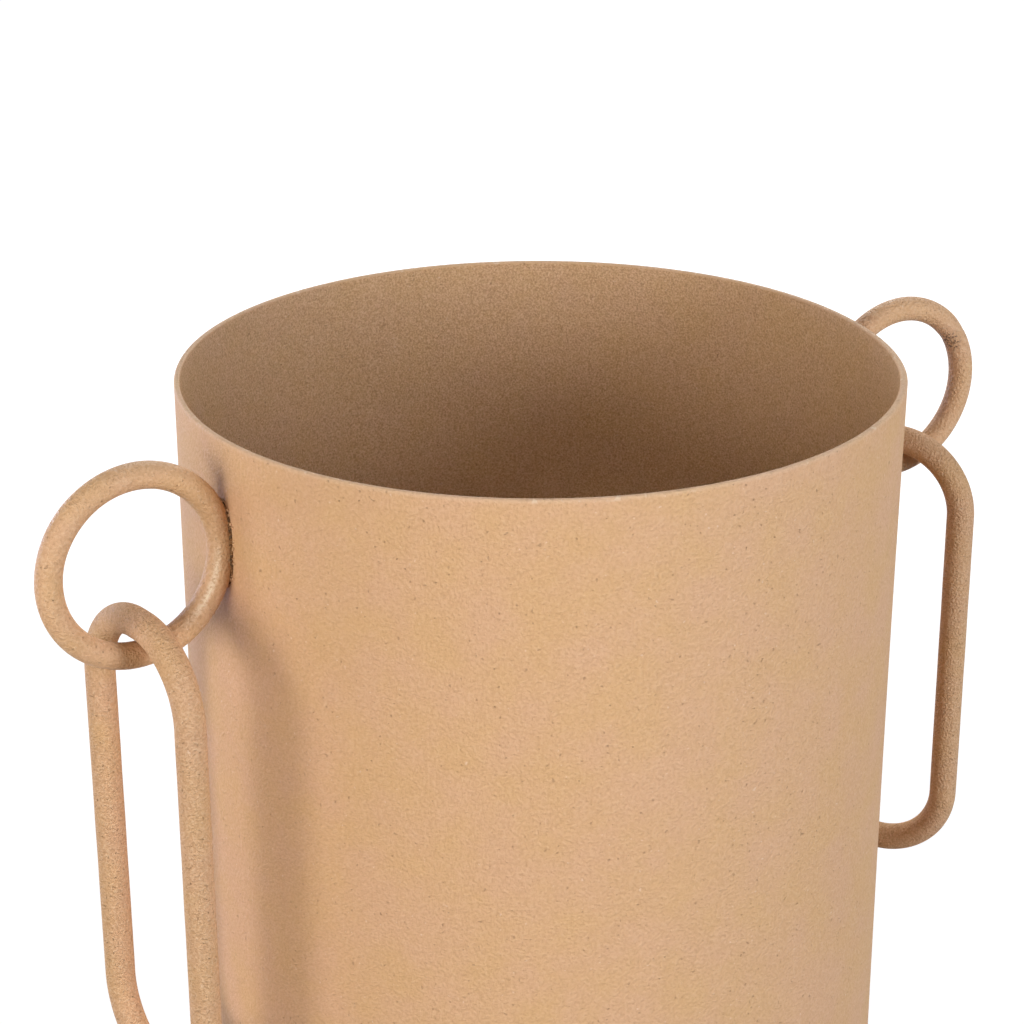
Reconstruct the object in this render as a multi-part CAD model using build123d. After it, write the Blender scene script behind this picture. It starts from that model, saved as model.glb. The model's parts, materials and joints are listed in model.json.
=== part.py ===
"""Open round metal vase with a welded ring and a loose long link on each side.

Millimetres, +Z up, origin at the centre of the underside. The two handles stand at -X and +X,
and -Y is the front, towards which both handles are swept a little.
"""

import os
from math import cos, radians, sin

from build123d import *

# Vessel wall, sheet rolled into a straight tube
vessel_diameter = 192.0  # outside
vessel_height = 300.0
wall_thickness = 1.5
rim_edge_radius = 0.6  # rounding on both edges of the mouth

# Floor disc, slipped into the lower end of the wall and welded from inside
floor_thickness = 2.0
floor_fit = 0.1  # radial play of the disc in the wall
floor_bead_leg = 3.0  # the bead reaches this far over the floor and up the wall

# Handle rings, round bar bent to a full circle and welded on edge to the wall
ring_bar = 7.0
ring_bore = 40.0
ring_drop = 27.9  # centre of the ring below the mouth
ring_seat_depth = 2.15  # depth of the hollow ground into the ring where it sits on the wall
ring_bead_leg = 1.4  # the bead reaches this far along the wall and up the ring
handle_sweep = 2.36  # degrees that each handle stands in front of the X axis

# Long links, round bar bent to a slender loop, hanging in the rings
link_bar = 8.0
link_bend_radius = 20.5  # to the middle of the bar
link_end_run = 3.0  # straight run between the two bends of an end
link_side_run = 90.0  # straight run of each long side
link_play = 0.3  # gap between the link's top bar and the ring under it
link_turn_left = 2.96  # degrees about the vertical, away from lying flat along the wall
link_turn_right = 29.54

# Places that follow from the sizes above
vessel_radius = vessel_diameter / 2
inner_radius = vessel_radius - wall_thickness
rim_round = min(rim_edge_radius, 0.45 * wall_thickness)
ring_radius = (ring_bore + ring_bar) / 2
ring_reach = vessel_radius + ring_bore / 2 + ring_bar - ring_seat_depth
ring_height = vessel_height - ring_drop
link_height = ring_height - ring_radius + (ring_bar + link_bar) / 2 + link_play
link_width = link_end_run + 2 * link_bend_radius
link_length = link_side_run + 2 * link_bend_radius
handle_azimuths = {"left": 180.0 + handle_sweep, "right": -handle_sweep}
link_turns = {"left": link_turn_left, "right": link_turn_right}

up = Vector(0, 0, 1)


def level_direction(azimuth):
    """Level unit vector at an azimuth in degrees, counted from +X towards +Y."""
    return Vector(cos(radians(azimuth)), sin(radians(azimuth)), 0)


def vessel_core(radius):
    """Cylinder on the vessel's axis, tall enough to pass every ring."""
    return Cylinder(radius, 2 * vessel_height, align=(Align.CENTER, Align.CENTER, Align.MIN))


def body_shell():
    """Straight tube, open at both ends, with a rounded mouth."""
    place = Pos(vessel_radius - wall_thickness / 2, vessel_height / 2)
    section = Plane.XZ * place * Rectangle(wall_thickness, vessel_height)
    mouth_corners = section.vertices().sort_by(Axis.Z)[-2:]
    return revolve(fillet(mouth_corners, rim_round), Axis.Z)


def base_plate():
    """Round floor disc, its underside level with the wall's lower edge."""
    radius = inner_radius - floor_fit
    return Cylinder(radius, floor_thickness, align=(Align.CENTER, Align.CENTER, Align.MIN))


def base_weld():
    """Hollow-faced bead in the corner between the floor and the wall."""
    corner = Vector(inner_radius, floor_thickness)
    toe = corner - Vector(floor_bead_leg, 0)
    top = corner + Vector(0, floor_bead_leg)
    hollow = RadiusArc(top, toe, floor_bead_leg)
    section = make_face([Line(toe, corner), Line(corner, top), hollow])
    return revolve(Plane.XZ * section, Axis.Z)


def ring_plane(azimuth):
    """Plane of a ring: X points out from the wall, Y up, origin at the ring's centre."""
    outward = level_direction(azimuth)
    return Plane(outward * ring_reach + up * ring_height, x_dir=outward, z_dir=outward.cross(up))


def ring(azimuth):
    """Full ring, hollowed where it sits against the wall."""
    return ring_plane(azimuth) * Torus(ring_radius, ring_bar / 2) - vessel_core(vessel_radius)


def ring_weld(azimuth):
    """Bead round the ring's seat, between the ring and the wall."""
    reach = ring_plane(azimuth) * Torus(ring_radius, ring_bar / 2 + ring_bead_leg)
    skin = vessel_core(vessel_radius + ring_bead_leg) - vessel_core(vessel_radius)
    return (reach & skin) - ring_plane(azimuth) * Torus(ring_radius, ring_bar / 2)


def link(azimuth, turn):
    """Slender loop that hangs with its top bar inside the ring."""
    across = level_direction(azimuth + 90 + turn)
    hang_point = level_direction(azimuth) * ring_reach + up * link_height
    plane = Plane(hang_point - up * link_length / 2, x_dir=across, z_dir=across.cross(up))
    path = (plane * RectangleRounded(link_width, link_length, link_bend_radius)).wire()
    section = Plane(path @ 0, z_dir=path % 0) * Circle(link_bar / 2)
    return sweep(section, path)


def main():
    """Build every piece and write each to a file of its own."""
    pieces = {"body_shell": body_shell(), "base_plate": base_plate(), "base_weld": base_weld()}
    for side, azimuth in handle_azimuths.items():
        pieces[f"ring_{side}"] = ring(azimuth)
        pieces[f"ring_weld_{side}"] = ring_weld(azimuth)
        pieces[f"link_{side}"] = link(azimuth, link_turns[side])
    os.makedirs("parts", exist_ok=True)
    for node, piece in pieces.items():
        export_step(piece, f"parts/{node}.step")


if __name__ == "__main__":
    main()
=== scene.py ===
"""Looks of the open metal vase: powder-coated wall, rings, links and weld beads on a pale floor.

Metres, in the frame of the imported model: +Z up, origin at the centre of the underside, one handle
at -X and one at +X, front towards -Y.
"""

import json
import logging
import math
import random
from dataclasses import dataclass
from enum import Enum, IntEnum
from typing import Any, Callable

import bmesh
import bpy
from mathutils import Matrix, Vector, noise


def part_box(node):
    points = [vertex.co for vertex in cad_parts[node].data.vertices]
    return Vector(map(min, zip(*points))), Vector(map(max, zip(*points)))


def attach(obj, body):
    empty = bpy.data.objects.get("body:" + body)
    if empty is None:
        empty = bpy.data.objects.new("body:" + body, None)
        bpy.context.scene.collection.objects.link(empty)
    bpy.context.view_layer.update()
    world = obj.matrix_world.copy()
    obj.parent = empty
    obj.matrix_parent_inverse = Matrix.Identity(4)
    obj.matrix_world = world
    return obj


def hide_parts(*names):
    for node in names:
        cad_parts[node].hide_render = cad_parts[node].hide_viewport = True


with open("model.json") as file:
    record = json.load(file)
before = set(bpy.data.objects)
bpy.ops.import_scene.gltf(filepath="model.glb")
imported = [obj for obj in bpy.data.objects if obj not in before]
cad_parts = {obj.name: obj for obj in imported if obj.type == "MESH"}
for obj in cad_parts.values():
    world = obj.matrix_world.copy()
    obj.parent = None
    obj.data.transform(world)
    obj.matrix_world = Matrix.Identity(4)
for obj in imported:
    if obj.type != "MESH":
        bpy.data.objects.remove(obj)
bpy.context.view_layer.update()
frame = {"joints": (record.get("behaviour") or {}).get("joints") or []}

LOG = logging.getLogger("vase_looks")
MM = 0.001
FULL_TURN = 2 * math.pi
UP = Vector((0, 0, 1)).freeze()
WHITE = "#FFFFFF"
ARC_STEP = 15  # degrees between the points of a rounded edge
SEED_STEPS = (1.0, 2.3, -1.7)  # how far each unit of a seed moves the noise along x, y and z

# Numbers of a Mix node's colour sockets, which share their names with its other sockets
MIX_SHARE = 0
MIX_FIRST = 6
MIX_SECOND = 7
MIX_RESULT = 2

# Levels between which nearly all values of a noise texture lie, for fine grain and for soft clouds
GRAIN_LOW = 0.30
GRAIN_HIGH = 0.70
CLOUD_LOW = 0.35
CLOUD_HIGH = 0.65

Face = tuple[int, ...]
Place = tuple[float, float, float]
Socket = bpy.types.NodeSocket
Layer = tuple[Socket, str]  # how much of a tone shows, from 0 to 1, and the tone


def linear(hex_colour: str) -> tuple[float, float, float, float]:
    """Turn an sRGB hex colour into a linear one.

    Args:
        hex_colour: Colour such as "#D8AD85".

    Returns:
        Linear red, green and blue, and an alpha of one.
    """
    channels = [int(hex_colour[start:start + 2], 16) / 255 for start in (1, 3, 5)]
    red, green, blue = (c / 12.92 if c <= 0.04045 else ((c + 0.055) / 1.055) ** 2.4 for c in channels)
    return red, green, blue, 1.0


def per_metre(size_mm: float) -> float:
    """Scale of a noise whose lumps are this many millimetres across."""
    return 1 / (size_mm * MM)


def lumps(point: Vector, size: float, seed: float) -> float:
    """Smooth seeded noise, from -1 to 1, with lumps of the given size in metres."""
    return noise.noise(point / size + Vector([step * seed for step in SEED_STEPS]))


def raised_lumps(point: Vector, size: float, seed: float) -> float:
    """The same noise, from 0 to 1."""
    return 0.5 + 0.5 * lumps(point, size, seed)


def level_direction(angle: float) -> Vector:
    """Level unit vector at an angle in radians, counted from +X towards +Y."""
    return Vector((math.cos(angle), math.sin(angle), 0))


def raised_direction(angle: float, elevation: float) -> Vector:
    """Unit vector at a level angle and an elevation, both in radians."""
    return level_direction(angle) * math.cos(elevation) + Vector((0, 0, math.sin(elevation)))


def add_node(
    tree: bpy.types.NodeTree, kind: str, sockets: dict[str | int, Any] | None = None, **settings: Any
) -> bpy.types.Node:
    """Add a node, apply its settings, and fill or link its input sockets.

    Args:
        tree: Node tree that takes the node.
        kind: Blender's type name of the node.
        sockets: Inputs by name or number, each a value to set or an output socket to link.
        settings: Properties of the node by name.

    Returns:
        The new node.
    """
    node = tree.nodes.new(kind)
    for name, value in settings.items():
        setattr(node, name, value)
    for key, value in (sockets or {}).items():
        if isinstance(value, Socket):
            tree.links.new(value, node.inputs[key])
        else:
            node.inputs[key].default_value = value
    return node


@dataclass(frozen=True)
class CoatNoise:
    """Sockets from which a coat works out its layers."""

    place: Socket
    grain: Socket
    specks: Socket  # its peaks are pits and its dips are pale flecks
    pits: Socket  # one in a pit and zero beside it


@dataclass(frozen=True)
class PowderCoat:
    """Sand-texture polyester powder coat, sprayed on steel and baked.

    It gives the eye one sandy tan in faint pinker and yellower clouds, a dry pebbled grain, small
    pits and specks where the powder did not flow, and hardly any shine.
    """

    name: str
    rosy_tone: str = "#DCAE87"
    sandy_tone: str = "#DBAE7F"
    hollow_tone: str = "#B0835A"  # between the grains
    crest_tone: str = "#F2D0A8"  # on top of the grains
    pit_tone: str = "#9A7050"
    fleck_tone: str = "#F4D9BC"
    cloud_mm: float = 14.0
    grain_mm: float = 0.8  # real grains are 0.1 to 0.3 mm, drawn coarser so that they show
    speck_mm: float = 0.9  # real pits are about 0.3 mm, drawn coarser as well
    hollow_level: float = 0.52  # grain level below which a hollow starts
    hollow_share: float = 0.18  # how far a hollow goes to its tone, and so on for the other shares
    crest_level: float = 0.50  # grain level above which a crest starts
    crest_share: float = 0.18
    pit_level: float = 0.80  # speck level above which a pit starts
    pit_share: float = 0.3
    pit_depth: float = 0.6  # in parts of the relief
    fleck_level: float = 0.19  # speck level below which a pale fleck starts
    fleck_share: float = 0.4
    speck_edge: float = 0.05  # speck levels over which a pit or fleck fades in
    relief_mm: float = 0.5  # height from the noise's 0 to 1, of which a grain spans about a tenth
    roughness: float = 0.62
    gloss_spread: float = 0.08  # crests are smoother and hollows rougher by this much
    shine: float = 0.15
    ior: float = 1.5  # polyester

    def material(self) -> bpy.types.Material:
        """Make the node material.

        Returns:
            The finished material.
        """
        material = bpy.data.materials.new(self.name)
        material.use_nodes = True
        tree = material.node_tree
        tree.nodes.clear()
        noises = self.noises(tree)
        gloss = add_node(
            tree,
            "ShaderNodeMapRange",
            {
                "Value": noises.grain,
                "From Min": GRAIN_LOW,
                "From Max": GRAIN_HIGH,
                "To Min": self.roughness + self.gloss_spread,
                "To Max": self.roughness - self.gloss_spread,
            },
        ).outputs["Result"]
        height = add_node(
            tree,
            "ShaderNodeMath",
            {0: noises.pits, 1: -self.pit_depth, 2: noises.grain},
            operation="MULTIPLY_ADD",
        ).outputs["Value"]
        normal = add_node(
            tree, "ShaderNodeBump", {"Height": height, "Distance": self.relief_mm * MM}
        ).outputs["Normal"]
        shader = add_node(
            tree,
            "ShaderNodeBsdfPrincipled",
            {
                "Base Color": self.colour(tree, noises),
                "Roughness": gloss,
                "Normal": normal,
                "IOR": self.ior,
                "Specular IOR Level": self.shine,
            },
        )
        add_node(tree, "ShaderNodeOutputMaterial", {"Surface": shader.outputs["BSDF"]})
        return material

    def noises(self, tree: bpy.types.NodeTree) -> CoatNoise:
        """Add the grain and the specks.

        Args:
            tree: Node tree of the material.

        Returns:
            Their sockets.
        """
        place = add_node(tree, "ShaderNodeTexCoord").outputs["Object"]
        grain = add_node(
            tree,
            "ShaderNodeTexNoise",
            {"Vector": place, "Scale": per_metre(self.grain_mm), "Detail": 2.0, "Roughness": 0.6},
        ).outputs["Fac"]
        specks = add_node(
            tree,
            "ShaderNodeTexNoise",
            {"Vector": place, "Scale": per_metre(self.speck_mm), "Detail": 0.0},
        ).outputs["Fac"]
        pits = add_node(
            tree,
            "ShaderNodeMapRange",
            {"Value": specks, "From Min": self.pit_level, "From Max": self.pit_level + self.speck_edge},
        ).outputs["Result"]
        return CoatNoise(place, grain, specks, pits)

    def colour(self, tree: bpy.types.NodeTree, noises: CoatNoise) -> Socket:
        """Lay the coat's layers over its clouds, each over the one before.

        Args:
            tree: Node tree of the material.
            noises: Sockets of the coat's noises.

        Returns:
            Socket with the colour.
        """
        clouds = add_node(
            tree,
            "ShaderNodeTexNoise",
            {"Vector": noises.place, "Scale": per_metre(self.cloud_mm), "Detail": 3.0},
        ).outputs["Fac"]
        cloud_share = add_node(
            tree, "ShaderNodeMapRange", {"Value": clouds, "From Min": CLOUD_LOW, "From Max": CLOUD_HIGH}
        ).outputs["Result"]
        colour: Socket | tuple[float, ...] = linear(self.rosy_tone)
        for share, tone in [(cloud_share, self.sandy_tone)] + self.layers(tree, noises):
            colour = add_node(
                tree,
                "ShaderNodeMix",
                {MIX_SHARE: share, MIX_FIRST: colour, MIX_SECOND: linear(tone)},
                data_type="RGBA",
            ).outputs[MIX_RESULT]
        return colour

    def layers(self, tree: bpy.types.NodeTree, noises: CoatNoise) -> list[Layer]:
        """Work out hollows, crests, pits and flecks.

        Args:
            tree: Node tree of the material.
            noises: Sockets of the coat's noises.

        Returns:
            The layers, from the lowest to the topmost.
        """
        fleck_full = self.fleck_level - self.speck_edge
        bands = (
            (noises.grain, self.hollow_level, GRAIN_LOW, self.hollow_share, self.hollow_tone),
            (noises.grain, self.crest_level, GRAIN_HIGH, self.crest_share, self.crest_tone),
            (noises.pits, 0.0, 1.0, self.pit_share, self.pit_tone),
            (noises.specks, self.fleck_level, fleck_full, self.fleck_share, self.fleck_tone),
        )
        layers = []
        for source, start, full, share, tone in bands:
            band = add_node(
                tree,
                "ShaderNodeMapRange",
                {"Value": source, "From Min": start, "From Max": full, "To Max": share},
            )
            layers.append((band.outputs["Result"], tone))
        return layers


@dataclass(frozen=True, kw_only=True)
class RimWornCoat(PowderCoat):
    """Powder coat of the wall's outside, thinner on the rim's edge.

    It gives the eye a slightly paler lip with small rubbed spots that are almost white.
    """

    rim_height: float
    rim_band_mm: float = 1.2
    wear_mm: float = 3.0
    wear_tone: str = "#F6E2C9"
    wear_share: float = 0.7
    wear_level: float = 0.65  # noise level above which a rubbed spot starts
    wear_edge: float = 0.06  # noise levels over which it fades in
    lip_share: float = 0.3  # wear between the spots

    def layers(self, tree: bpy.types.NodeTree, noises: CoatNoise) -> list[Layer]:
        """Add the worn rim to the coat's layers.

        Args:
            tree: Node tree of the material.
            noises: Sockets of the coat's noises.

        Returns:
            The layers, from the lowest to the topmost.
        """
        height = add_node(tree, "ShaderNodeSeparateXYZ", {"Vector": noises.place}).outputs["Z"]
        near_rim = add_node(
            tree,
            "ShaderNodeMapRange",
            {
                "Value": height,
                "From Min": self.rim_height - self.rim_band_mm * MM,
                "From Max": self.rim_height,
                "To Max": self.wear_share,
            },
        ).outputs["Result"]
        rubs = add_node(
            tree,
            "ShaderNodeTexNoise",
            {"Vector": noises.place, "Scale": per_metre(self.wear_mm), "Detail": 2.0},
        ).outputs["Fac"]
        spots = add_node(
            tree,
            "ShaderNodeMapRange",
            {
                "Value": rubs,
                "From Min": self.wear_level,
                "From Max": self.wear_level + self.wear_edge,
                "To Min": self.lip_share,
            },
        ).outputs["Result"]
        worn = add_node(tree, "ShaderNodeMath", {0: near_rim, 1: spots}, operation="MULTIPLY")
        return super().layers(tree, noises) + [(worn.outputs["Value"], self.wear_tone)]


@dataclass(frozen=True)
class InsideCoat(PowderCoat):
    """Powder coat of the inside, with a finer grain than the outside.

    It gives the eye a much stronger grain than the outside: its pale crests and dark hollows are painted
    light and shade of the relief, which the light inside strikes at a grazing angle.
    """

    rosy_tone: str = "#DBB18A"
    sandy_tone: str = "#DAB083"
    grain_mm: float = 0.55
    # Painted light and shade of the grazing-lit relief: paler crests and darker hollows than outside
    hollow_share: float = 0.58
    crest_share: float = 0.66
    relief_mm: float = 0.7


@dataclass(frozen=True)
class RoughSteelCoat(PowderCoat):
    """Powder coat on rough steel: hot-rolled bar with its scaly skin, or weld metal.

    It gives the eye a rough, pitted grain with pale crests.
    """

    grain_mm: float = 0.65
    hollow_share: float = 0.4
    crest_share: float = 0.45
    pit_level: float = 0.78
    relief_mm: float = 0.8


@dataclass(frozen=True)
class RingCoat(PowderCoat):
    """Powder coat on bar that was bent cold to a ring and brushed.

    It gives the eye a fainter grain than on the link, with a little more shine.
    """

    hollow_share: float = 0.28
    crest_share: float = 0.32
    relief_mm: float = 0.6
    roughness: float = 0.50
    shine: float = 0.2


@dataclass(frozen=True, kw_only=True)
class JointScarCoat(RingCoat):
    """Powder coat over a ring joint that was welded and then ground roughly.

    It gives the eye a small patch of dark scratches and pinholes.
    """

    scar_place: Place
    scar_reach_mm: float = 4.4  # at its full within half of this
    scratch_mm: float = 0.8
    scratch_tone: str = "#4E3626"
    scratch_share: float = 0.85
    scratch_level: float = 0.48  # noise level above which a scratch starts
    scratch_edge: float = 0.10  # noise levels over which it fades in

    def layers(self, tree: bpy.types.NodeTree, noises: CoatNoise) -> list[Layer]:
        """Add the scratches of the joint to the coat's layers.

        Args:
            tree: Node tree of the material.
            noises: Sockets of the coat's noises.

        Returns:
            The layers, from the lowest to the topmost.
        """
        away = add_node(
            tree, "ShaderNodeVectorMath", {0: noises.place, 1: self.scar_place}, operation="DISTANCE"
        ).outputs["Value"]
        near_joint = add_node(
            tree,
            "ShaderNodeMapRange",
            {
                "Value": away,
                "From Min": self.scar_reach_mm * MM,
                "From Max": self.scar_reach_mm * MM / 2,
                "To Max": self.scratch_share,
            },
        ).outputs["Result"]
        rasped = add_node(
            tree,
            "ShaderNodeTexNoise",
            {"Vector": noises.place, "Scale": per_metre(self.scratch_mm), "Detail": 2.0, "Roughness": 0.7},
        ).outputs["Fac"]
        scratches = add_node(
            tree,
            "ShaderNodeMapRange",
            {
                "Value": rasped,
                "From Min": self.scratch_level,
                "From Max": self.scratch_level + self.scratch_edge,
            },
        ).outputs["Result"]
        scar = add_node(tree, "ShaderNodeMath", {0: near_joint, 1: scratches}, operation="MULTIPLY")
        return super().layers(tree, noises) + [(scar.outputs["Value"], self.scratch_tone)]


@dataclass(frozen=True, kw_only=True)
class RingCoatWithPaintedHighlight(RingCoat):
    """Powder coat over a ring joint that was dressed smooth.

    It gives the eye a pale satin streak along the inner side of the bar, broken by the grain, which is a
    painted highlight laid on as colour near the joint.
    """

    joint_place: Place
    ring_middle: Place
    streak_reach_mm: float = 14.0  # at its full within a third of this
    streak_radius_mm: float = 21.5  # from the ring's middle
    streak_width_mm: float = 1.1
    # Painted highlight: the streak's pale tone and how far it goes to it
    painted_highlight_tone: str = "#FFE9C9"
    painted_highlight_share: float = 0.9
    streak_start: float = 0.36  # grain levels between which the streak comes up
    streak_full: float = 0.54
    streak_in_hollows: float = 0.25  # what is left of it between the grains

    def layers(self, tree: bpy.types.NodeTree, noises: CoatNoise) -> list[Layer]:
        """Add the painted highlight streak near the joint to the coat's layers.

        Args:
            tree: Node tree of the material.
            noises: Sockets of the coat's noises.

        Returns:
            The layers, from the lowest to the topmost.
        """
        # The painted highlight is strongest near the joint mark and along one radius of the bar
        along = add_node(
            tree, "ShaderNodeVectorMath", {0: noises.place, 1: self.joint_place}, operation="DISTANCE"
        ).outputs["Value"]
        near_joint = add_node(
            tree,
            "ShaderNodeMapRange",
            {
                "Value": along,
                "From Min": self.streak_reach_mm * MM,
                "From Max": self.streak_reach_mm * MM / 3,
                "To Max": self.painted_highlight_share,
            },
        ).outputs["Result"]
        radius = add_node(
            tree, "ShaderNodeVectorMath", {0: noises.place, 1: self.ring_middle}, operation="DISTANCE"
        ).outputs["Value"]
        offset = add_node(
            tree, "ShaderNodeMath", {0: radius, 1: self.streak_radius_mm * MM}, operation="SUBTRACT"
        ).outputs["Value"]
        beside = add_node(tree, "ShaderNodeMath", {0: offset}, operation="ABSOLUTE").outputs["Value"]
        painted_highlight_band = add_node(
            tree,
            "ShaderNodeMapRange",
            {"Value": beside, "From Min": self.streak_width_mm * MM, "From Max": 0.0},
        ).outputs["Result"]
        crests = add_node(
            tree,
            "ShaderNodeMapRange",
            {
                "Value": noises.grain,
                "From Min": self.streak_start,
                "From Max": self.streak_full,
                "To Min": self.streak_in_hollows,
            },
        ).outputs["Result"]
        share = near_joint
        for factor in (painted_highlight_band, crests):
            share = add_node(
                tree, "ShaderNodeMath", {0: share, 1: factor}, operation="MULTIPLY"
            ).outputs["Value"]
        return super().layers(tree, noises) + [(share, self.painted_highlight_tone)]


@dataclass(frozen=True)
class WeldBeadCoatWithPaintedShade(PowderCoat):
    """Powder coat that hardly covers a rough weld bead.

    It gives the eye a dark, broken line with few pale crests; its darker body and its dark hollows and
    pits are painted shade of the narrow gap between ring and wall.
    """

    # Painted shade of the gap between ring and wall: darker body tones, dark hollows and dark pits
    rosy_tone: str = "#B08258"
    sandy_tone: str = "#A37548"
    hollow_tone: str = "#4A2F1B"
    crest_tone: str = "#E3BF97"
    pit_tone: str = "#38230F"
    grain_mm: float = 0.9
    hollow_share: float = 0.9
    crest_share: float = 0.7
    pit_level: float = 0.55
    pit_share: float = 0.75
    relief_mm: float = 1.5


def seen_rays(tree: bpy.types.NodeTree) -> Socket:
    """Tell rays that show the background from rays that light the vase.

    Args:
        tree: Node tree of the floor or the world.

    Returns:
        Socket that is one for camera, glossy and transmission rays.
    """
    rays = add_node(tree, "ShaderNodeLightPath").outputs
    seen = rays["Is Camera Ray"]
    for kind in ("Is Glossy Ray", "Is Transmission Ray"):
        either = add_node(tree, "ShaderNodeMath", {0: seen, 1: rays[kind]}, operation="MAXIMUM")
        seen = either.outputs["Value"]
    return seen


@dataclass(frozen=True)
class StudioPaper:
    """Matt white background paper, which shows as white and still takes the vase's shadow."""

    name: str = "white_background_paper"
    paper_tone: str = "#5C5C5C"  # for the light that it throws back
    shown_tone: str = "#A8A8A8"
    near_glow: float = 0.74  # round the vase, where the lamps add to it
    near_reach: float = 0.5
    far_reach: float = 1.6  # from here on the paper shows as white by itself

    def material(self) -> bpy.types.Material:
        """Make the node material.

        Returns:
            The finished material.
        """
        material = bpy.data.materials.new(self.name)
        material.use_nodes = True
        tree = material.node_tree
        tree.nodes.clear()
        paper = add_node(tree, "ShaderNodeBsdfDiffuse", {"Color": linear(self.paper_tone)})
        shadow = add_node(tree, "ShaderNodeBsdfDiffuse", {"Color": linear(self.shown_tone)})
        place = add_node(tree, "ShaderNodeTexCoord").outputs["Object"]
        reach = add_node(tree, "ShaderNodeVectorMath", {0: place}, operation="LENGTH").outputs["Value"]
        glow = add_node(
            tree,
            "ShaderNodeMapRange",
            {
                "Value": reach,
                "From Min": self.near_reach,
                "From Max": self.far_reach,
                "To Min": self.near_glow,
                "To Max": 1.0,
            },
        ).outputs["Result"]
        light = add_node(tree, "ShaderNodeEmission", {"Strength": glow})
        shown = add_node(
            tree, "ShaderNodeAddShader", {0: shadow.outputs["BSDF"], 1: light.outputs["Emission"]}
        )
        surface = add_node(
            tree,
            "ShaderNodeMixShader",
            {0: seen_rays(tree), 1: paper.outputs["BSDF"], 2: shown.outputs["Shader"]},
        )
        add_node(tree, "ShaderNodeOutputMaterial", {"Surface": surface.outputs["Shader"]})
        return material


class Coating(IntEnum):
    """Which of a piece's coats a face wears."""

    MAIN = 0
    SECOND = 1


@dataclass
class MeshShape:
    """Vertices and faces of a piece, and the coat that each face wears."""

    vertices: list[Vector]
    faces: list[Face]
    coatings: list[Coating]

    def join(self, other: "MeshShape") -> None:
        """Take in the vertices and faces of another shape.

        Args:
            other: Shape to take in.
        """
        start = len(self.vertices)
        self.vertices += other.vertices
        self.faces += [tuple(start + corner for corner in face) for face in other.faces]
        self.coatings += other.coatings

    def piece(self, name: str, coats: list[PowderCoat], body: str, node: str) -> bpy.types.Object:
        """Turn the shape into a piece that rides on a body and stands for a CAD node.

        Args:
            name: Name of the piece.
            coats: The main coat, and the second one if there is one.
            body: CAD body that carries the piece.
            node: CAD node that the piece stands for.

        Returns:
            The finished object.
        """
        mesh = bpy.data.meshes.new(name)
        mesh.from_pydata(self.vertices, [], self.faces)
        for coat in coats:
            mesh.materials.append(coat.material())
        mesh.polygons.foreach_set("material_index", self.coatings)
        mesh.polygons.foreach_set("use_smooth", [True] * len(self.faces))
        skin = bmesh.new()
        skin.from_mesh(mesh)
        bmesh.ops.recalc_face_normals(skin, faces=skin.faces)
        skin.to_mesh(mesh)
        skin.free()
        piece = bpy.data.objects.new(name, mesh)
        bpy.context.scene.collection.objects.link(piece)
        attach(piece, body)
        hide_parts(node)
        return piece


def closed_grid(rows: list[list[Vector]], row_coatings: list[Coating] | None = None) -> MeshShape:
    """Join rows of points to a surface that closes on itself both ways, like a tyre.

    Args:
        rows: Rows with the same number of points each.
        row_coatings: Coat between each row and the next, the main one if left out.

    Returns:
        The shape.
    """
    count = len(rows)
    width = len(rows[0])
    faces = []
    coatings = []
    for row in range(count):
        here = row * width
        after = (row + 1) % count * width
        for column in range(width):
            beside = (column + 1) % width
            faces.append((here + column, here + beside, after + beside, after + column))
            coatings.append(row_coatings[row] if row_coatings else Coating.MAIN)
    return MeshShape([point for row in rows for point in row], faces, coatings)


def bar(
    path: list[tuple[Vector, Vector, Vector]], sides: int, radius: Callable[[int, Vector], float]
) -> MeshShape:
    """Sweep a round bar along a closed path.

    Args:
        path: For each step a point and two directions square to the path and to each other.
        sides: Number of points round the bar.
        radius: Radius of the bar at a step of the path and a point just off the path, on its way
            to the skin.

    Returns:
        The shape.
    """
    rows = []
    for step, (middle, first, second) in enumerate(path):
        turns = (FULL_TURN * side / sides for side in range(sides))
        rims = (first * math.cos(turn) + second * math.sin(turn) for turn in turns)
        rows.append([middle + rim * radius(step, middle + rim * MM) for rim in rims])
    return closed_grid(rows)


def drop(middle: Vector, radius: float, coating: Coating) -> MeshShape:
    """Make a small ball.

    Args:
        middle: Centre of the ball.
        radius: Radius of the ball.
        coating: Coat that it wears.

    Returns:
        The shape.
    """
    ball = bmesh.new()
    bmesh.ops.create_icosphere(ball, subdivisions=2, radius=radius, matrix=Matrix.Translation(middle))
    ball.verts.index_update()
    vertices = [vertex.co.copy() for vertex in ball.verts]
    faces = [tuple(vertex.index for vertex in face.verts) for face in ball.faces]
    ball.free()
    return MeshShape(vertices, faces, [coating] * len(faces))


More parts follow.
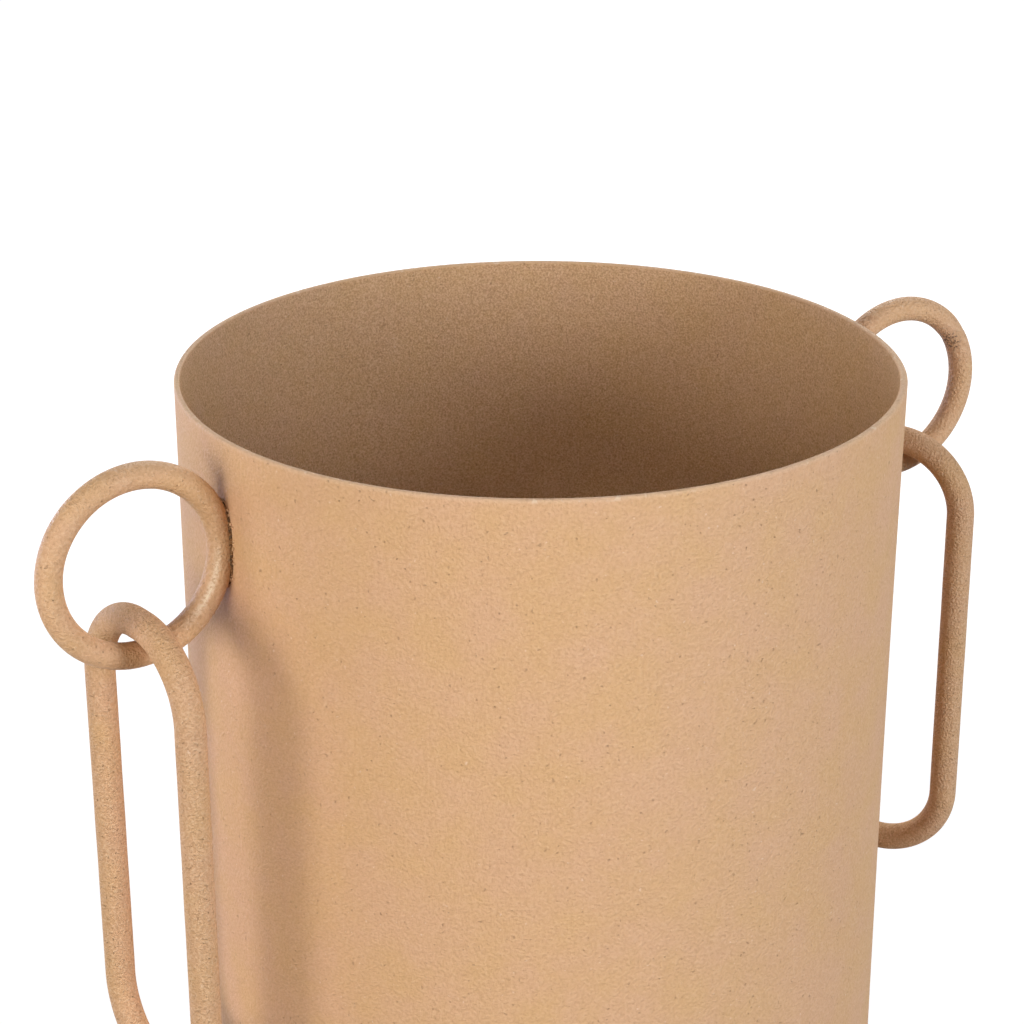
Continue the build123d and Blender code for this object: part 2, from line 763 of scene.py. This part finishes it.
@dataclass
class Vessel:
    """Rolled wall, floor disc and the bead that welds them together."""

    wall: float = 1.5 * MM
    rim_round: float = 0.6 * MM
    foot_round: float = 0.2 * MM
    dent_depth: float = 0.12 * MM
    dent_size: float = 55 * MM
    dent_seed: float = 3.0
    flare: float = 1.2 * MM  # the mouth stands out a little beside the right handle
    flare_angle: float = math.radians(-40)
    flare_spread: float = math.radians(22)
    flare_depth: float = 160 * MM
    flare_inside: float = 0.6  # share of the flare that the inside takes, which leaves a thicker lip
    wall_rows: int = 60
    columns: int = 384
    floor_thickness: float = 2.0 * MM
    floor_fit: float = 0.1 * MM
    floor_round: float = 0.3 * MM
    floor_rows: int = 24
    bead_leg: float = 3.0 * MM
    bead_fill: float = 0.97  # how much of the leg the highest ripple fills
    bead_pitch: float = 5.0 * MM  # one ripple of the weld
    ripple_depth: float = 0.10  # in parts of the leg
    ripple_steps: int = 8
    ripple_drift: float = 1.5  # radians by which the ripples run early or late
    drift_waves: int = 7  # times round the vase that they do so

    def __post_init__(self) -> None:
        """Take the radius and height of the wall from its CAD node."""
        low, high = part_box("body_shell")
        self.radius = min(high.x, high.y, -low.x, -low.y)
        self.inner_radius = self.radius - self.wall
        self.height = high.z
        self.angles = [FULL_TURN * column / self.columns for column in range(self.columns)]

    def build(self, outside: PowderCoat, inside: PowderCoat, bead: PowderCoat) -> list[bpy.types.Object]:
        """Build the wall, the floor, which wears the inside's coat, and the bead between them."""
        return [self.build_wall(outside, inside), self.build_floor(inside), self.build_floor_bead(bead)]

    def dented(self, radius: float, height: float, angle: float) -> Vector:
        """Move a point of the wall in or out a little where the sheet is not quite round.

        Args:
            radius: Radius of the round wall at this point.
            height: Height of the point.
            angle: Level angle of the point, in radians.

        Returns:
            The moved point.
        """
        out = level_direction(angle)
        place = out * self.radius + Vector((0, 0, height))
        dent = self.dent_depth * raised_lumps(place, self.dent_size, self.dent_seed)
        aside = math.remainder(angle - self.flare_angle, FULL_TURN) / self.flare_spread
        fade = max(0.0, 1 - (self.height - height) / self.flare_depth)
        through = (radius - self.inner_radius) / self.wall
        share = self.flare_inside + (1 - self.flare_inside) * through
        flare = self.flare * share * math.exp(-aside * aside) * fade * fade
        return out * (radius - dent + flare) + Vector((0, 0, height))

    def wall_section(self) -> list[tuple[float, float, Coating]]:
        """Trace the wall's section, up the outside, over the rim and down the inside.

        Returns:
            Radius, height and coat at each point.
        """
        top = self.height - self.rim_round
        foot = self.foot_round
        heights = [foot + (top - foot) * row / self.wall_rows for row in range(self.wall_rows)]
        arc = [math.radians(angle) for angle in range(0, 90 + 1, ARC_STEP)]
        lip = [(self.rim_round * (1 - math.cos(a)), top + self.rim_round * math.sin(a)) for a in arc]
        section = [(self.radius - foot, 0.0, Coating.MAIN)]
        section += [(self.radius, height, Coating.MAIN) for height in heights]
        section += [(self.radius - inset, height, Coating.MAIN) for inset, height in lip]
        section += [(self.inner_radius + inset, height, Coating.MAIN) for inset, height in lip[:0:-1]]
        section += [(self.inner_radius, height, Coating.SECOND) for height in [top] + heights[::-1]]
        section.append((self.inner_radius + foot, 0.0, Coating.MAIN))
        return section

    def build_wall(self, outside: PowderCoat, inside: PowderCoat) -> bpy.types.Object:
        """Build the wall.

        Args:
            outside: Coat of the outside and rim.
            inside: Coat of the inside.

        Returns:
            The piece.
        """
        section = self.wall_section()
        rows = [[self.dented(radius, height, a) for a in self.angles] for radius, height, _ in section]
        shape = closed_grid(rows, [coating for _, _, coating in section])
        return shape.piece("rolled_wall", [outside, inside], "vessel", "body_shell")

    def build_floor(self, coat: PowderCoat) -> bpy.types.Object:
        """Build the floor disc: rings of faces, closed at the middle by one face above and one below.

        Args:
            coat: Coat of the disc.

        Returns:
            The piece.
        """
        edge = self.inner_radius - self.floor_fit
        soft = self.floor_round
        radii = [edge * (row + 1) / (self.floor_rows + 1) for row in range(self.floor_rows)]
        section = [(radius, 0.0) for radius in radii]
        section += [(edge - soft, 0.0), (edge, soft), (edge, self.floor_thickness - soft)]
        section += [(edge - soft, self.floor_thickness)]
        section += [(radius, self.floor_thickness) for radius in reversed(radii)]
        rows = [[level_direction(a) * r + Vector((0, 0, h)) for a in self.angles] for r, h in section]
        shape = closed_grid(rows)
        last_row = (len(rows) - 1) * self.columns
        underside = tuple(reversed(range(self.columns)))
        upside = tuple(range(last_row, last_row + self.columns))
        shape.faces = shape.faces[:last_row] + [underside, upside]
        shape.coatings = [Coating.MAIN] * len(shape.faces)
        return shape.piece("floor_disc", [coat], "vessel", "base_plate")

    def build_floor_bead(self, coat: PowderCoat) -> bpy.types.Object:
        """Build the rippled bead in the corner of floor and wall.

        Args:
            coat: Coat of the bead.

        Returns:
            The piece.
        """
        corner = Vector((self.inner_radius, 0, self.floor_thickness))
        ripples = round(FULL_TURN * self.inner_radius / self.bead_pitch)
        steps = ripples * self.ripple_steps
        hollow = [math.radians(angle) for angle in range(180, 270 + 1, ARC_STEP)]
        rows = []
        for step in range(steps):
            angle = FULL_TURN * step / steps
            drift = self.ripple_drift * math.sin(self.drift_waves * angle)
            ripple = 0.5 + 0.5 * math.cos(ripples * angle + drift)
            leg = self.bead_leg * (self.bead_fill - self.ripple_depth * ripple)
            section = [corner]
            for turn in hollow:
                inward = leg * (1 + math.cos(turn))
                raised = leg * (1 + math.sin(turn))
                section.append(corner + Vector((-inward, 0, raised)))
            turned = Matrix.Rotation(angle, 3, "Z")
            rows.append([turned @ point for point in section])
        return closed_grid(rows).piece("floor_weld_bead", [coat], "vessel", "base_weld")


class Side(Enum):
    """The two handles of the vase."""

    LEFT = "left"
    RIGHT = "right"


class RingJoint(Enum):
    """How the joint of a ring's two ends was finished."""

    DRESSED = "dressed smooth, with a fine groove left"
    ROUGH = "ground roughly"


@dataclass
class Handle:
    """Welded ring, the bead round its seat, and the long link that hangs in it."""

    side: Side
    vessel: Vessel
    joint: RingJoint
    joint_angle: float  # where the ring's ends meet, in radians from outward over the top
    seed: float
    bar_sides: int = 40
    uneven_depth: float = 0.10 * MM
    ring_bar: float = 7.0 * MM
    ring_bore: float = 40.0 * MM
    ring_lump: float = 9.0 * MM
    ring_steps: int = 320
    joint_inset: float = 0.4  # bar widths from the bar's middle in to the mark of the joint
    groove_depth: float = 0.15 * MM
    groove_reach: float = 0.35 * MM
    scar_depth: float = 0.3 * MM
    scar_reach: float = 2.6 * MM
    scar_lump: float = 0.8 * MM
    scar_aside: float = 0.25  # bar widths to the side
    bead_bar: float = 0.75 * MM
    bead_fill: float = 0.8  # share of the bead's radius without its lumps
    bead_lump: float = 1.6 * MM
    bead_lump_share: float = 0.30
    bead_grit: float = 0.6 * MM
    bead_grit_share: float = 0.20
    bead_steps: int = 160
    bead_sides: int = 20
    spatter_count: int = 40
    spatter_away_mm: tuple[float, float] = (0.4, 1.4)
    spatter_radius_mm: tuple[float, float] = (0.2, 0.5)
    link_bar: float = 8.0 * MM
    link_bend: float = 20.5 * MM
    link_end_run: float = 3.0 * MM
    link_lump: float = 12.0 * MM
    link_step: float = 1.0 * MM

    def __post_init__(self) -> None:
        """Take the places of ring and link from the joint and the CAD nodes."""
        hinge = next(j for j in frame["joints"] if j["child"] == f"link_{self.side.value}")
        self.hang_point = Vector(hinge["pos_m"])
        self.across = Vector(hinge["axis"]).normalized()
        self.ring_radius = (self.ring_bore + self.ring_bar) / 2
        ring_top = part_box(f"ring_{self.side.value}")[1].z
        self.outward = Vector((self.hang_point.x, self.hang_point.y, 0)).normalized()
        self.sideways = self.outward.cross(UP)
        self.ring_middle = Vector((self.hang_point.x, self.hang_point.y, ring_top))
        self.ring_middle.z -= self.ring_radius + self.ring_bar / 2
        link_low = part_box(f"link_{self.side.value}")[0].z
        self.link_length = self.hang_point.z - link_low - self.link_bar / 2
        self.link_width = self.link_end_run + 2 * self.link_bend

    def build(self, bead: PowderCoat, link: PowderCoat) -> list[bpy.types.Object]:
        """Build the ring, its bead with spatter, which wears the link's coat, and the link."""
        return [self.build_ring(), self.build_ring_bead(bead, link), self.build_link(link)]

    def spoke(self, turn: float) -> Vector:
        """Direction from the ring's middle at an angle counted from outward over the top."""
        return self.outward * math.cos(turn) + UP * math.sin(turn)

    def ring_coat(self) -> PowderCoat:
        """Choose the ring's coat by the finish of its joint, with a painted highlight streak for the
        dressed one.

        Returns:
            The coat.
        """
        name = f"powder_coat_{self.side.value}_ring"
        inset = self.ring_radius - self.joint_inset * self.ring_bar
        mark = self.ring_middle + self.spoke(self.joint_angle) * inset
        if self.joint is RingJoint.DRESSED:
            # The dressed joint's coat paints a highlight streak round the joint mark
            return RingCoatWithPaintedHighlight(name, joint_place=tuple(mark), ring_middle=tuple(self.ring_middle))
        scar = mark + self.sideways * self.scar_aside * self.ring_bar
        return JointScarCoat(name, scar_place=tuple(scar))

    def ring_skin(self, step: int, point: Vector) -> float:
        """Work out the radius of the ring's bar, with its joint and slight unevenness.

        Args:
            step: Step round the ring.
            point: Point for the noise.

        Returns:
            The radius.
        """
        turn = FULL_TURN * step / self.ring_steps
        off = self.ring_radius * math.remainder(turn - self.joint_angle, FULL_TURN)
        uneven = self.uneven_depth * raised_lumps(point, self.ring_lump, self.seed)
        if self.joint is RingJoint.DRESSED:
            cut = self.groove_depth * math.exp(-((off / self.groove_reach) ** 2))
        else:
            rasped = raised_lumps(point, self.scar_lump, self.seed)
            cut = self.scar_depth * rasped * math.exp(-((off / self.scar_reach) ** 2))
        return self.ring_bar / 2 - cut - uneven

    def build_ring(self) -> bpy.types.Object:
        """Build the ring, hollowed where it sits on the wall.

        Returns:
            The piece.
        """
        path = []
        for step in range(self.ring_steps):
            spoke = self.spoke(FULL_TURN * step / self.ring_steps)
            path.append((self.ring_middle + spoke * self.ring_radius, spoke, self.sideways))
        shape = bar(path, self.bar_sides, self.ring_skin)
        shape.vertices = [self.seated(point) for point in shape.vertices]
        side = self.side.value
        return shape.piece(f"{side}_ring", [self.ring_coat()], "vessel", f"ring_{side}")

    def seated(self, point: Vector) -> Vector:
        """Move a point out to the wall's surface if it lies deeper.

        Args:
            point: Point of a ring or bead.

        Returns:
            The point on or outside the wall.
        """
        level = Vector((point.x, point.y, 0))
        if level.length >= self.vessel.radius:
            return point
        return level.normalized() * self.vessel.radius + Vector((0, 0, point.z))

    def seat_outline(self) -> list[Vector]:
        """Trace the closed line on which the ring's skin meets the wall.

        Returns:
            Points of the line.
        """
        gap = self.hang_point.to_2d().length - self.vessel.radius
        bar_radius = self.ring_bar / 2
        half_length = math.sqrt((self.ring_radius + bar_radius) ** 2 - gap ** 2)
        azimuth = math.atan2(self.outward.y, self.outward.x)
        outline = []
        for step in range(self.bead_steps):
            turn = FULL_TURN * step / self.bead_steps
            rise = half_length * math.sin(turn)
            inset = math.hypot(gap, rise) - self.ring_radius
            breadth = math.copysign(math.sqrt(max(bar_radius ** 2 - inset ** 2, 0)), math.cos(turn))
            out = level_direction(azimuth + breadth / self.vessel.radius)
            outline.append(out * self.vessel.radius + Vector((0, 0, self.ring_middle.z + rise)))
        return outline

    def bead_skin(self, step: int, point: Vector) -> float:
        """Work out the radius of the ring's bead, with its lumps.

        Args:
            step: Step round the bead, which is alike all round.
            point: Point for the noise.

        Returns:
            The radius.
        """
        coarse = self.bead_lump_share * lumps(point, self.bead_lump, self.seed)
        fine = self.bead_grit_share * lumps(point, self.bead_grit, self.seed + 1)
        return self.bead_bar * (self.bead_fill + coarse + fine)

    def build_ring_bead(self, bead: PowderCoat, spatter: PowderCoat) -> bpy.types.Object:
        """Build the lumpy bead round the ring's seat on the wall, with drops of spatter beside it.

        Args:
            bead: Coat of the bead.
            spatter: Coat of the drops.

        Returns:
            The piece.
        """
        outline = self.seat_outline()
        path = []
        for step, point in enumerate(outline):
            along = outline[(step + 1) % self.bead_steps] - outline[step - 1]
            out = Vector((point.x, point.y, 0)).normalized()
            path.append((point, out, along.cross(out).normalized()))
        shape = bar(path, self.bead_sides, self.bead_skin)
        chance = random.Random(int(self.seed))
        for _ in range(self.spatter_count):
            number = chance.randrange(self.bead_steps)
            away = chance.uniform(*self.spatter_away_mm) * MM
            size = chance.uniform(*self.spatter_radius_mm) * MM
            seat, _, beside = path[number]
            shape.join(drop(self.seated(seat + beside * away), size, Coating.SECOND))
        side = self.side.value
        return shape.piece(f"{side}_ring_weld_bead", [bead, spatter], "vessel", f"ring_weld_{side}")

    def link_skin(self, step: int, point: Vector) -> float:
        """Radius of the link's bar at any step, with slight unevenness."""
        return self.link_bar / 2 - self.uneven_depth * raised_lumps(point, self.link_lump, self.seed)

    def build_link(self, coat: PowderCoat) -> bpy.types.Object:
        """Build the long link, a bar bent to a loop with four round corners.

        Args:
            coat: Coat of the link.

        Returns:
            The piece.
        """
        middle = self.hang_point - Vector((0, 0, self.link_length / 2))
        flat = self.across.cross(UP)
        path = []
        for along, rise, turn in self.link_outline():
            spoke = self.across * math.cos(turn) + UP * math.sin(turn)
            path.append((middle + self.across * along + Vector((0, 0, rise)), spoke, flat))
        shape = bar(path, self.bar_sides, self.link_skin)
        side = self.side.value
        return shape.piece(f"{side}_link", [coat], f"link_{side}", f"link_{side}")

    def link_outline(self) -> list[tuple[float, float, float]]:
        """Walk round the link's centreline: each corner's arc, then the straight run after it.

        Returns:
            Place across, place up and outward angle at each step, from the link's middle.
        """
        half_width = self.link_width / 2 - self.link_bend
        half_length = self.link_length / 2 - self.link_bend
        corners = ((1, 1), (-1, 1), (-1, -1), (1, -1))
        runs = (self.link_width - 2 * self.link_bend, self.link_length - 2 * self.link_bend)
        arc_steps = round(self.link_bend * math.pi / 2 / self.link_step)
        outline = []
        for number, (right, up) in enumerate(corners):
            for step in range(arc_steps + 1):
                turn = math.pi / 2 * (number + step / arc_steps)
                across = right * half_width + self.link_bend * math.cos(turn)
                rise = up * half_length + self.link_bend * math.sin(turn)
                outline.append((across, rise, turn))
            across, rise, turn = outline[-1]
            run = runs[number % 2]
            run_steps = round(run / self.link_step)
            for step in range(1, run_steps):
                gone = run * step / run_steps
                outline.append((across - gone * math.sin(turn), rise + gone * math.cos(turn), turn))
        return outline


@dataclass(frozen=True, kw_only=True)
class SoftLight:
    """Soft box that faces the vase."""

    name: str
    left_of_camera: float  # degrees round the vase, from the camera to its left
    elevation: float  # degrees above the floor
    width: float
    height: float
    strength: float  # brightness that it gives a white card facing it
    tone: str = "#FFFDFA"
    distance: float = 1.5

    def build(self, aim: Vector, camera_bearing: float) -> None:
        """Hang the light and turn it to the vase.

        Args:
            aim: Point that the light faces.
            camera_bearing: Level angle from the vase to the camera, in radians.
        """
        bearing = camera_bearing - math.radians(self.left_of_camera)
        away = raised_direction(bearing, math.radians(self.elevation))
        data = bpy.data.lights.new(self.name, "AREA")
        data.shape = "RECTANGLE"
        data.size = self.width
        data.size_y = self.height
        data.energy = self.strength * (math.pi * self.distance) ** 2
        data.color = linear(self.tone)[:3]
        light = bpy.data.objects.new(self.name, data)
        light.location = aim + away * self.distance
        light.rotation_euler = (-away).to_track_quat("-Z", "Y").to_euler()
        bpy.context.scene.collection.objects.link(light)
        LOG.info("%s stands %.0f degrees left of the camera", self.name, self.left_of_camera)


LIGHTS = [
    SoftLight(
        name="left_soft_box", left_of_camera=46.0, elevation=9.0, width=1.2, height=0.7, strength=0.735
    ),
    SoftLight(
        name="upper_left_soft_box",
        left_of_camera=12.0,
        elevation=36.0,
        width=0.6,
        height=0.6,
        strength=0.16,
    ),
    SoftLight(
        name="right_soft_box",
        left_of_camera=-54.0,
        elevation=12.0,
        width=0.5,
        height=0.9,
        strength=0.82,
        tone="#EFF5FF",
    ),
    SoftLight(
        name="left_back_panel",
        left_of_camera=124.0,
        elevation=2.0,
        width=1.2,
        height=0.3,
        strength=0.50,
        tone="#B4CCFF",
    ),
    SoftLight(
        name="back_soft_box", left_of_camera=180.0, elevation=36.0, width=0.9, height=0.9, strength=0.66
    ),
]


@dataclass
class Studio:
    """Camera, floor, world and lights."""

    vessel: Vessel
    view_azimuth: float = -33.05  # degrees, from the front towards the left handle
    view_elevation: float = 19.016
    view_distance: float = 0.7121  # from the middle of the mouth
    pan: float = 0.5528  # degrees that the camera turns off the mouth, to its left
    tilt: float = 3.1324  # and down
    lens: float = 94.30
    sensor: float = 36.0
    floor_size: float = 12.0
    floor_drop: float = 0.2 * MM  # keeps the paper clear of the vase's underside
    ambient: float = 0.02
    aim_share: float = 0.6  # height that the lights face, in parts of the vase's height

    def __post_init__(self) -> None:
        """Work out the level angle from the vase to the camera."""
        self.camera_bearing = math.radians(self.view_azimuth - 90)

    def build(self, lights: list[SoftLight]) -> None:
        """Set up everything round the vase.

        Args:
            lights: Lights to hang.
        """
        self.build_camera()
        self.build_floor()
        self.build_world()
        aim = Vector((0, 0, self.aim_share * self.vessel.height))
        for light in lights:
            light.build(aim, self.camera_bearing)

    def build_camera(self) -> None:
        """Set up the camera at the photograph's viewing angle."""
        back = raised_direction(self.camera_bearing, math.radians(self.view_elevation))
        facing = (-back).to_track_quat("-Z", "Y").to_matrix()
        panned = Matrix.Rotation(math.radians(self.pan), 3, "Y")
        tilted = Matrix.Rotation(math.radians(-self.tilt), 3, "X")
        data = bpy.data.cameras.new("photo_camera")
        data.lens = self.lens
        data.sensor_width = self.sensor
        camera = bpy.data.objects.new("photo_camera", data)
        camera.location = Vector((0, 0, self.vessel.height)) + back * self.view_distance
        camera.rotation_euler = (facing @ panned @ tilted).to_euler()
        bpy.context.scene.collection.objects.link(camera)
        bpy.context.scene.camera = camera

    def build_floor(self) -> None:
        """Lay the paper floor under the vase."""
        half = self.floor_size / 2
        signs = ((-1, -1), (1, -1), (1, 1), (-1, 1))
        corners = [Vector((x * half, y * half, -self.floor_drop)) for x, y in signs]
        mesh = bpy.data.meshes.new("paper_floor")
        mesh.from_pydata(corners, [], [(0, 1, 2, 3)])
        mesh.materials.append(StudioPaper().material())
        floor = bpy.data.objects.new("paper_floor", mesh)
        bpy.context.scene.collection.objects.link(floor)

    def build_world(self) -> None:
        """Fill the room with faint even light, which the camera sees as white."""
        world = bpy.data.worlds.new("white_room")
        world.use_nodes = True
        tree = world.node_tree
        tree.nodes.clear()
        room = add_node(tree, "ShaderNodeBackground", {"Color": linear(WHITE), "Strength": self.ambient})
        white = add_node(tree, "ShaderNodeBackground", {"Color": linear(WHITE), "Strength": 1.0})
        surface = add_node(
            tree,
            "ShaderNodeMixShader",
            {0: seen_rays(tree), 1: room.outputs["Background"], 2: white.outputs["Background"]},
        )
        add_node(tree, "ShaderNodeOutputWorld", {"Surface": surface.outputs["Shader"]})
        bpy.context.scene.world = world


def main() -> None:
    """Build the vase, piece by piece, and the studio round it."""
    logging.basicConfig(level=logging.INFO, format="%(message)s")
    bpy.context.scene.view_settings.view_transform = "Standard"
    vessel = Vessel()
    pieces = vessel.build(
        outside=RimWornCoat("powder_coat_outside", rim_height=vessel.height),
        inside=InsideCoat("powder_coat_inside"),
        bead=RoughSteelCoat("powder_coat_floor_bead"),
    )
    handles = [
        # The left ring's joint angle also places its painted highlight streak
        Handle(Side.LEFT, vessel, RingJoint.DRESSED, joint_angle=math.radians(206), seed=5.0),
        Handle(Side.RIGHT, vessel, RingJoint.ROUGH, joint_angle=math.radians(34), seed=11.0),
    ]
    for handle in handles:
        pieces += handle.build(
            # The ring bead's coat carries painted shade of the gap between ring and wall
            bead=WeldBeadCoatWithPaintedShade("powder_coat_ring_bead_painted_shade"), link=RoughSteelCoat("powder_coat_link")
        )
    for piece in pieces:
        LOG.info("%s has %d faces", piece.name, len(piece.data.polygons))
    Studio(vessel).build(LIGHTS)


if __name__ == "__main__":
    main()
